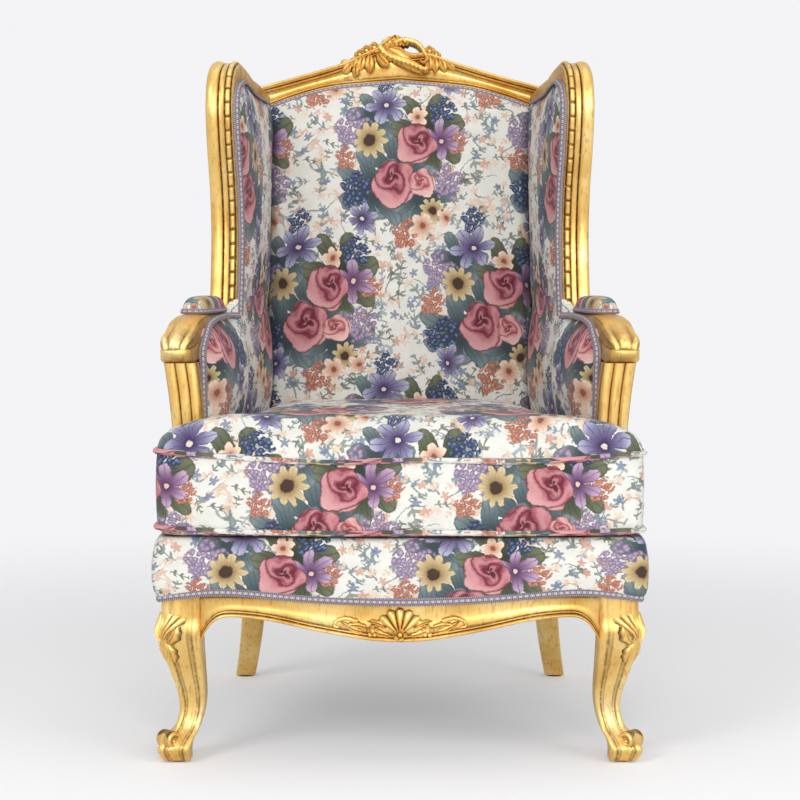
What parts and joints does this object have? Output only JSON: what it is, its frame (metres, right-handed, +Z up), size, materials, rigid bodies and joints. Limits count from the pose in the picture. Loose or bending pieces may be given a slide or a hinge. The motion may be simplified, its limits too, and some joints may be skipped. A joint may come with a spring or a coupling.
{
  "type": "wing chair",
  "caption": "High-backed wing armchair with a carved gilt frame, curved front legs, tapestry upholstery and a loose seat cushion.",
  "frame": {"origin": "on the floor, under the middle of the chair's outline", "axes": "+Z up, the chair faces -Y, +X is to the right of someone looking at its front"},
  "size_m": [0.7272, 0.7599, 1.136],
  "materials": {
    "gilt_wood": "gilded, worn, satin",
    "frame_wood": "bare beech",
    "floral_fabric": "woven floral tapestry on a pale ground",
    "cushion_filling": "feather and foam filling in a plain case",
    "jute": "natural jute",
    "cambric": "black cambric",
    "felt": "dark felt"
  },
  "bodies": {
    "chair": {"arm_left": "gilt_wood", "arm_pad_left": "floral_fabric", "arm_pad_right": "floral_fabric", "arm_post_left": "gilt_wood", "arm_post_right": "gilt_wood", "arm_right": "gilt_wood", "back_post_left": "gilt_wood", "back_post_right": "gilt_wood", "back_rail": "frame_wood", "back_webbing": "jute", "burlap": "jute", "corner_blocks": "frame_wood", "crest_rail": "gilt_wood", "dowels": "frame_wood", "dust_cover": "cambric", "foot_glides": "felt", "front_leg_left": "gilt_wood", "front_leg_right": "gilt_wood", "front_rail": "gilt_wood", "inside_arm_left": "floral_fabric", "inside_arm_right": "floral_fabric", "inside_back": "floral_fabric", "lower_back_rail": "frame_wood", "outside_arm_left": "floral_fabric", "outside_arm_right": "floral_fabric", "outside_back": "floral_fabric", "outside_wing_left": "floral_fabric", "outside_wing_right": "floral_fabric", "seat_deck": "floral_fabric", "seat_webbing": "jute", "side_rail_left": "gilt_wood", "side_rail_right": "gilt_wood", "wing_pad_left": "floral_fabric", "wing_pad_right": "floral_fabric", "wing_rail_left": "gilt_wood", "wing_rail_right": "gilt_wood"},
    "cushion": {"cushion_cover": "floral_fabric", "cushion_core": "cushion_filling", "cushion_piping_top": "floral_fabric", "cushion_piping_bottom": "floral_fabric"}
  },
  "joints": [
    {"name": "cushion_slide", "type": "slide", "parent": "chair", "child": "cushion", "axis": [0, -1, 0], "range_m": [0, 0.25]}
  ]
}
